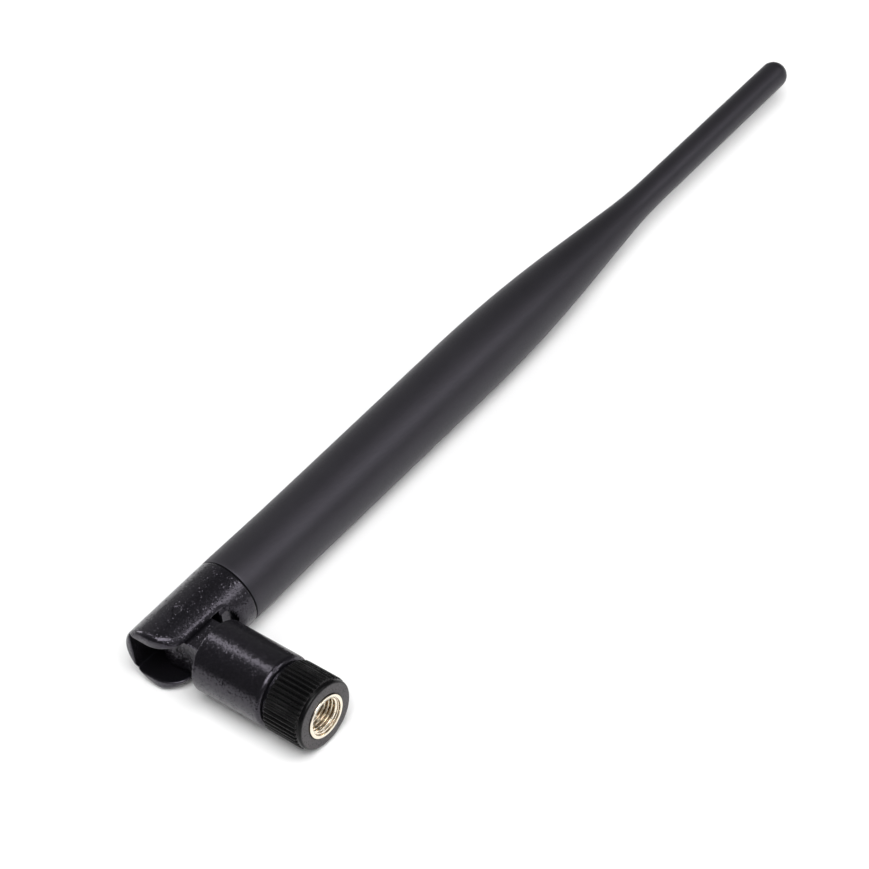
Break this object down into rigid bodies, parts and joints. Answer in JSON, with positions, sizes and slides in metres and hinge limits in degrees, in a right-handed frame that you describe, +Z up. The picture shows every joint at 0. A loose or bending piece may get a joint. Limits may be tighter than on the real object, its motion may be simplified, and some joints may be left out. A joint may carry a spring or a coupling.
{
  "type": "omnidirectional antenna",
  "caption": "Articulated black whip antenna: thick radome necking to a thin rod, forked elbow hinge, round connector base and ribbed screw-on coaxial plug, folded to a right angle.",
  "frame": {"origin": "on the surface the antenna lies on, under the middle of its box at rest", "axes": "+Z up along the elbow hinge, +Y along the whip towards its tip, +X out of the plug; the rest pose is the right-angle fold, lying flat"},
  "size_m": [0.0366, 0.1782, 0.0126],
  "materials": {
    "grained_plastic": "black ABS with a fine spark-eroded grain",
    "radome_plastic": "black, fine matte moulded surface",
    "grip_plastic": "near-black moulded plastic, smoother and glossier",
    "nickel_plate": "nickel-plated machined brass, bright",
    "brass": "drawn brass tube",
    "gold_plate": "gold-plated contact",
    "copper": "bare copper wire",
    "solder": "tin solder, dull",
    "spring_steel": "sprung split ring",
    "fluoroplastic": "white PTFE",
    "cable_jacket": "brown FEP cable jacket",
    "silicone": "red silicone gasket",
    "shrink_tube": "black heat-shrink tube",
    "foam": "white closed-cell foam"
  },
  "bodies": {
    "connector_base": {"base_housing": "grained_plastic", "plug_body": "nickel_plate", "plug_dielectric": "fluoroplastic", "centre_contact": "gold_plate", "retaining_ring": "spring_steel", "sealing_gasket": "silicone", "crimp_ferrule": "nickel_plate", "coax_base_run": "cable_jacket", "coax_base_core": "fluoroplastic"},
    "coupling_nut": {"nut_insert": "nickel_plate", "nut_grip": "grip_plastic"},
    "whip": {"knuckle": "grained_plastic", "radome": "radome_plastic", "balun_sleeve": "brass", "balun_solder": "solder", "lower_radiator": "brass", "radiator_wire": "copper", "coil_former": "fluoroplastic", "feed_shrink_tube": "shrink_tube", "foam_spacer_lower": "foam", "foam_spacer_upper": "foam", "coax_whip_run": "cable_jacket", "coax_whip_core": "fluoroplastic", "coax_elbow": "cable_jacket"}
  },
  "joints": [
    {"name": "elbow", "type": "hinge", "parent": "connector_base", "child": "whip", "pos_m": [-0.01205, -0.08188, 0.0063], "axis": [0, 0, 1], "range_deg": [0, 90], "deforming": ["coax_elbow"]},
    {"name": "nut_spin", "type": "hinge", "parent": "connector_base", "child": "coupling_nut", "pos_m": [0.01425, -0.08188, 0.0063], "axis": [1, 0, 0], "continuous": true}
  ]
}
